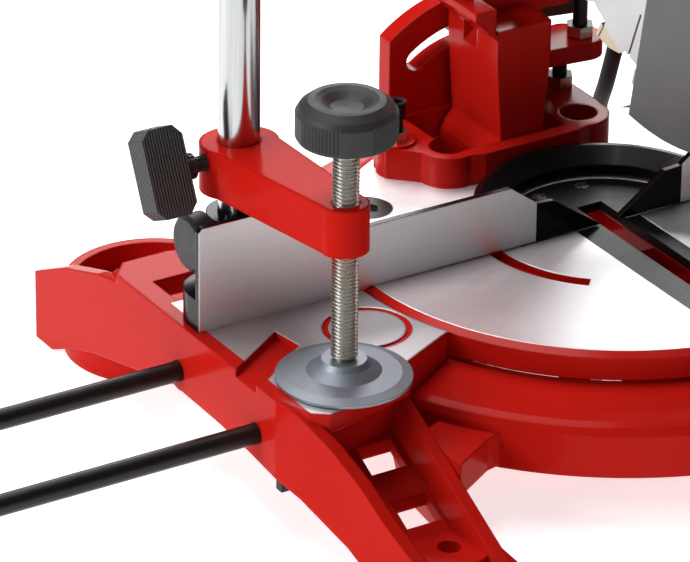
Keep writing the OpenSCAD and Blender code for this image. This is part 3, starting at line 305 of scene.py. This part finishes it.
COIL_X, COIL_Y, COIL_STEP, COIL_TURNS = 257 * MM, 118.2 * MM, 7.8 * MM, 3
turn_no = np.linspace(0, 2 * COIL_TURNS + 0.5, 48 * COIL_TURNS * 2 + 25)
wound_in = np.minimum(np.minimum(turn_no, COIL_TURNS), 2 * COIL_TURNS + 0.5 - turn_no)
climb = np.clip((turn_no - COIL_TURNS) / 0.5, 0, 1)
coil_radius = 51.8 * MM - COIL_STEP * wound_in
coil_angle = np.pi / 2 - 2 * np.pi * turn_no
coil_line = np.stack([COIL_X + coil_radius * np.cos(coil_angle), COIL_Y + coil_radius * np.sin(coil_angle),
                      4 * MM + COIL_STEP * climb**2 * (3 - 2 * climb)], axis=1)
coil_line = np.vstack([coil_line[:1] - [7 * MM, 0, 0], coil_line, coil_line[-1:] - [7 * MM, 0, 0]])

drop_line, mid_line, floor_line = (smooth_run(r, 6) for r in (drop_route, mid_route, floor_route))
lead = np.vstack([drop_line, mid_line[1:], floor_line[1:]])


def lead_at(height):
    """Place in the lead's list of points that is nearest to a height over the table."""
    return int(np.argmin(abs(lead[:, 2] - TABLE - height)))


AT_ARM, OVER_FENCE, BEHIND_TABLE = lead_at(118 * MM), lead_at(60 * MM), lead_at(10 * MM)
drop_line, mid_line, floor_line = lead[: AT_ARM + 1], lead[AT_ARM : OVER_FENCE + 1], lead[OVER_FENCE:]
flex_drop = piece("flex_drop", *sweep(drop_line, CORD_R, 20), RUBBER)
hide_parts("cord_drop")
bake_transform(flex_drop)

flex_mid = piece("flex_mid", *sweep(mid_line, CORD_R, 20), RUBBER)
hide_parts("cord_mid")
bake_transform(flex_mid)

flex_floor = piece("flex_floor", *sweep(floor_line, CORD_R, 20), RUBBER)
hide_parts("cord_floor")
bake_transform(flex_floor)

flex_coil = piece("flex_coil", *sweep(coil_line, CORD_R, 16), RUBBER)
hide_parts("cord_coil")
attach(flex_coil, "base")
dress(RUBBER, "cord_plug", "strain_relief")

# The base: one aluminium casting under glossy red powder coat. The wings' tops are milled bare, level with the
# turntable, and the ring, legs and feet keep their paint.
RED_LIT, RED_DEEP = (0.53, 0.012, 0.007), (0.47, 0.009, 0.006)


def red_enamel(name, edge, gloss=0.08):
    """Glossy red paint: two close reds in soft clouds, and the fine ripple that powder coat dries with."""
    paint = Finish(name, roughness=0.2, coat=gloss / 2, specular=gloss)
    paint.set("Base Color", paint.mix(paint.noise(45), RED_LIT, RED_DEEP))
    paint.set("Roughness", 0.13 + 0.1 * paint.noise(160))
    paint.relief(paint.noise(520), 0.12, 0.0002, edge)
    return paint


def milled(paint, bare, colour=(0.6, 0.6, 0.62), marks=(1.0, 40.0, 1.0)):
    """Paint is milled away where bare is 1: bright metal there, with fine cutter marks across it."""
    lines = paint.noise(90, 3.0, marks)
    old = paint.skin.inputs["Base Color"].links[0].from_socket
    rough = paint.skin.inputs["Roughness"].links[0].from_socket
    metal = paint.mix(lines, tuple(0.82 * c for c in colour), tuple(min(1.0, 1.12 * c) for c in colour))
    paint.set("Base Color", paint.mix(bare, Value(paint, old), metal))
    paint.set("Metallic", bare * 0.9)
    paint.set("Roughness", Value(paint, rough) * (1 - bare) + bare * (0.36 + 0.2 * lines))
    paint.set("Coat Weight", (1 - bare) * 0.03)
    return paint


BASE_RED = red_enamel("base_enamel", 1.4 * MM, 0.035)
x, y, z, _ = BASE_RED.place()
MILLED_DEPTH, WING_END, WING_BACK = 0.2 * MM, 181 * MM, 27 * MM
milled(BASE_RED, (z > TABLE - MILLED_DEPTH) * (abs(x) < WING_END) * (y < WING_BACK))
dress(BASE_RED, "base_casting")

SCALE_PLATE = Finish("scale_plate", metallic=0.8, roughness=0.4)
x, y, _, _ = SCALE_PLATE.place()
degree = x.math("ARCTAN2", abs(y)) * float(180 / np.pi)
stroke = abs((degree + 0.5).math("FRACT") - 0.5) < 0.14
long_one = abs((degree / 5 + 0.5).math("FRACT") - 0.5) < 0.05
reach = (x * x + y * y).root()
rim = float(max(abs(v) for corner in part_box("mitre_scale") for v in corner[:2]))
printed = stroke * (reach < rim - 4 * MM) + long_one * (reach < rim - 2 * MM)
ground = SCALE_PLATE.mix(SCALE_PLATE.noise(60), (0.55, 0.56, 0.57), (0.66, 0.67, 0.68))
SCALE_PLATE.set("Base Color", SCALE_PLATE.mix(printed > 0.5, ground, (0.02, 0.02, 0.02)))
dress(SCALE_PLATE, "mitre_scale")

# The fence: one aluminium casting, coated black, whose two front faces are milled bright. A low black bow joins
# its halves behind the blade, and socket bolts hold its feet down on the wings.
FENCE_BLACK = Finish("fence_enamel", roughness=0.2, coat=0.03, specular=0.15)
FENCE_BLACK.set("Base Color",
                FENCE_BLACK.mix(FENCE_BLACK.noise(50), (0.003, 0.0025, 0.002), (0.006, 0.005, 0.005)))
FENCE_BLACK.set("Roughness", 0.16 + 0.14 * FENCE_BLACK.noise(140))
FENCE_BLACK.relief(FENCE_BLACK.noise(480), 0.12, 0.0002, 0.8 * MM)
x, y, z, _ = FENCE_BLACK.place()
FENCE_IN = 34 * MM
milled(FENCE_BLACK, (y < 0.05 * MM) * (abs(x) > FENCE_IN), (0.97, 0.96, 0.98), (0.6, 1.0, 30.0))
dress(FENCE_BLACK, "fence")

# The steel of the saw: bent round bars and screws, oiled black, stop screws with zinc lock nuts, bright zinc and
# chrome on the clamp, and bare ground steel on the blade, the pins and the gears.
BLACK_STEEL = Finish("black_steel", metallic=0.5, roughness=0.38)
BLACK_STEEL.set("Base Color",
                BLACK_STEEL.mix(BLACK_STEEL.noise(70), (0.008, 0.007, 0.007), (0.02, 0.018, 0.017)))
BLACK_STEEL.relief(BLACK_STEEL.noise(800), 0.1, 0.0001, 0.4 * MM)
dress(BLACK_STEEL, "left_support_bar", "right_support_bar", "fence_bolts", "table_screws", "blade_bolt", "latch_pin")


def stop_screw(name, low, high):
    """Blackened screw with a zinc lock nut between two heights over the table."""
    screw = Finish(name, metallic=0.6, roughness=0.36)
    _, _, z, _ = screw.place()
    nut = (z > TABLE + low * MM) * (z < TABLE + high * MM)
    black = screw.mix(screw.noise(90), (0.01, 0.009, 0.009), (0.022, 0.02, 0.019))
    screw.set("Base Color", screw.mix(nut, black, (0.62, 0.6, 0.55)))
    screw.set("Metallic", 0.5 + 0.5 * nut)
    screw.relief(screw.noise(800), 0.1, 0.0001, 0.3 * MM)
    return screw


dress(stop_screw("upright_stop_steel", 13, 18), "bevel_stop_0")
dress(stop_screw("tilted_stop_steel", 14, 18), "bevel_stop_45")
dress(stop_screw("arm_stop_steel", 38, 43), "arm_stop_screw")

ZINC = Finish("zinc_plate", metallic=1.0, roughness=0.3)
ZINC.set("Base Color", ZINC.mix(ZINC.noise(120), (0.42, 0.41, 0.37), (0.54, 0.52, 0.47)))
ZINC.set("Roughness", 0.2 + 0.16 * ZINC.noise(200))
ZINC.relief(ZINC.noise(700), 0.08, 0.0001, 0.3 * MM)
dress(ZINC, "clamp_spindle", "insert_screws", "handle_screws")

PAD = Finish("pad_zinc", metallic=0.85, roughness=0.5)
PAD.set("Base Color", PAD.mix(PAD.noise(150), (0.26, 0.3, 0.345), (0.31, 0.35, 0.395)))
PAD.set("Roughness", 0.46 + 0.1 * PAD.noise(300))
PAD.relief(PAD.noise(700), 0.06, 0.0001, 0.3 * MM)
dress(PAD, "clamp_pad")

CHROME = Finish("chrome_bar", metallic=1.0, roughness=0.1)
# The chrome's colour runs in long upright streaks, darker and lighter: painted reflections of the dark and bright
# things round the pillar.
painted_reflection_streak = CHROME.noise(420, 2.0, (1.0, 1.0, 0.03))
CHROME.set("Base Color", CHROME.mix(painted_reflection_streak, (0.3, 0.31, 0.32), (0.62, 0.63, 0.64)))
CHROME.set("Roughness", 0.1 + 0.16 * painted_reflection_streak)
dress(CHROME, "clamp_pillar")

STEEL = Finish("bare_steel", metallic=1.0, roughness=0.32)
STEEL.set("Base Color", STEEL.mix(STEEL.noise(150), (0.5, 0.5, 0.5), (0.66, 0.66, 0.66)))
STEEL.set("Roughness", 0.25 + 0.2 * STEEL.noise(90))
STEEL.relief(STEEL.noise(900), 0.06, 0.0001, 0.3 * MM)
dress(STEEL, "pivot_bolt", "bracket_bolts", "bevel_pin", "chop_pin", "return_spring", "blade_flanges", "arbor_shaft",
      "drive_gear", "bearings")

BLADE = Finish("blade_steel", metallic=1.0, roughness=0.3)
low, high = (np.array(v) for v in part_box("saw_blade"))
_, y, z, _ = BLADE.place()
across_y, across_z = y - float(low[1] + high[1]) / 2, z - float(low[2] + high[2]) / 2
reach = (across_y * across_y + across_z * across_z).root()
ground = 0.5 + 0.5 * (reach * 9000).sin()
tip = reach > float(high[2] - low[2]) / 2 - 6.5 * MM
plate = BLADE.mix(ground * BLADE.noise(60), (0.42, 0.42, 0.43), (0.66, 0.66, 0.67))
BLADE.set("Base Color", BLADE.mix(tip, plate, (0.5, 0.43, 0.33)))
BLADE.set("Roughness", 0.26 + 0.14 * ground)
dress(BLADE, "saw_blade")

# The clamp: a red cast arm that slides on the chromed pillar and carries the spindle. Its knobs, like those of the
# rest of the saw, are moulded in black plastic over steel screws, and the paddle is knurled.
ARM_RED = red_enamel("clamp_enamel", 2.0 * MM, 0.008)
dress(ARM_RED, "clamp_arm")

PLASTIC = Finish("moulded_black", roughness=0.5, specular=0.35)
PLASTIC.set("Base Color", PLASTIC.mix(PLASTIC.noise(80), (0.022, 0.022, 0.022), (0.034, 0.033, 0.033)))
PLASTIC.set("Roughness", 0.42 + 0.2 * PLASTIC.noise(300))
PLASTIC.relief(PLASTIC.noise(1600), 0.2, 0.0002, 0.8 * MM)
dress(PLASTIC, "clamp_knob", "pillar_lock_knob", "left_bar_screw", "right_bar_screw",
      "mitre_lock_knob", "bevel_lock_lever", "motor_housing", "motor_cap", "handle_left", "handle_right",
      "dust_port", "spindle_lock")

INSERT = Finish("insert_black", roughness=0.3, specular=0.1)
INSERT.set("Base Color", INSERT.mix(INSERT.noise(70), (0.005, 0.004, 0.004), (0.01, 0.008, 0.008)))
INSERT.set("Roughness", 0.24 + 0.14 * INSERT.noise(200))
INSERT.relief(INSERT.noise(900), 0.1, 0.0002, 0.5 * MM)
dress(INSERT, "kerf_insert")

KNURLED = Finish("knurled_black", roughness=0.42, specular=0.4, colour=(0.02, 0.02, 0.02))
x, y, z, _ = KNURLED.place()
leaning = y * 0.906 - z * 0.423
knurl_relief_and_highlight = ((x + leaning) * 2600).sin() * ((x - leaning) * 2600).sin()
# The knurl's peaks are painted lighter than its valleys: a painted highlight on the diamonds, besides the bump.
KNURLED.set("Base Color", KNURLED.mix(0.5 + 0.5 * knurl_relief_and_highlight, (0.012, 0.012, 0.012), (0.05, 0.049, 0.049)))
KNURLED.relief(knurl_relief_and_highlight, 1.0, 0.0008, 0.6 * MM)
dress(KNURLED, "clamp_thumbscrew")

# The turntable: an aluminium casting in the same red, turning on the base. Its top is milled bright after painting,
# and the chamfer at its rim and the slots in it keep their paint.
TABLE_RED = red_enamel("table_enamel", 1.0 * MM)
x, y, z, _ = TABLE_RED.place()
reach = (x * x + y * y).root()
MILLED_R = 107.2 * MM
milled(TABLE_RED, (z > TABLE - MILLED_DEPTH) * (reach < MILLED_R), (0.86, 0.85, 0.87), (1.0, 30.0, 1.0))
TABLE_RED.set("Anisotropic", 0.6)
dress(TABLE_RED, "turntable")

# The hinge and the head: a red cast bracket bolted to the turntable, the tilting arm pinned in it, and the red
# blade housing. The gear case is bare grey casting, the guard and buttons are moulded, the windings varnished.
HINGE_RED = red_enamel("hinge_enamel", 1.6 * MM)
dress(HINGE_RED, "hinge_bracket", "tilt_arm", "blade_housing")

GREY_CAST = Finish("gear_case_cast", metallic=0.6, roughness=0.45)
GREY_CAST.set("Base Color", GREY_CAST.mix(GREY_CAST.noise(90), (0.09, 0.09, 0.095), (0.14, 0.14, 0.145)))
GREY_CAST.relief(GREY_CAST.noise(700), 0.2, 0.0003, 1.0 * MM)
dress(GREY_CAST, "gear_case")

GUARD_GREY = Finish("guard_plastic", roughness=0.35)
GUARD_GREY.set("Base Color", GUARD_GREY.mix(GUARD_GREY.noise(60), (0.05, 0.05, 0.052), (0.08, 0.08, 0.082)))
GUARD_GREY.relief(GUARD_GREY.noise(900), 0.1, 0.0002, 0.6 * MM)
dress(GUARD_GREY, "moving_guard")

BUTTON_RED = Finish("button_plastic", roughness=0.35)
BUTTON_RED.set("Base Color", BUTTON_RED.mix(BUTTON_RED.noise(90), (0.5, 0.01, 0.008), (0.6, 0.014, 0.01)))
BUTTON_RED.relief(BUTTON_RED.noise(1200), 0.15, 0.0002, 0.6 * MM)
dress(BUTTON_RED, "trigger", "lock_off_button")

WINDING = Finish("varnished_copper", metallic=0.8, roughness=0.4)
strands = WINDING.noise(200, 2.0, (8.0, 1.0, 1.0))
WINDING.set("Base Color", WINDING.mix(strands, (0.4, 0.16, 0.06), (0.6, 0.28, 0.12)))
dress(WINDING, "stator", "rotor")
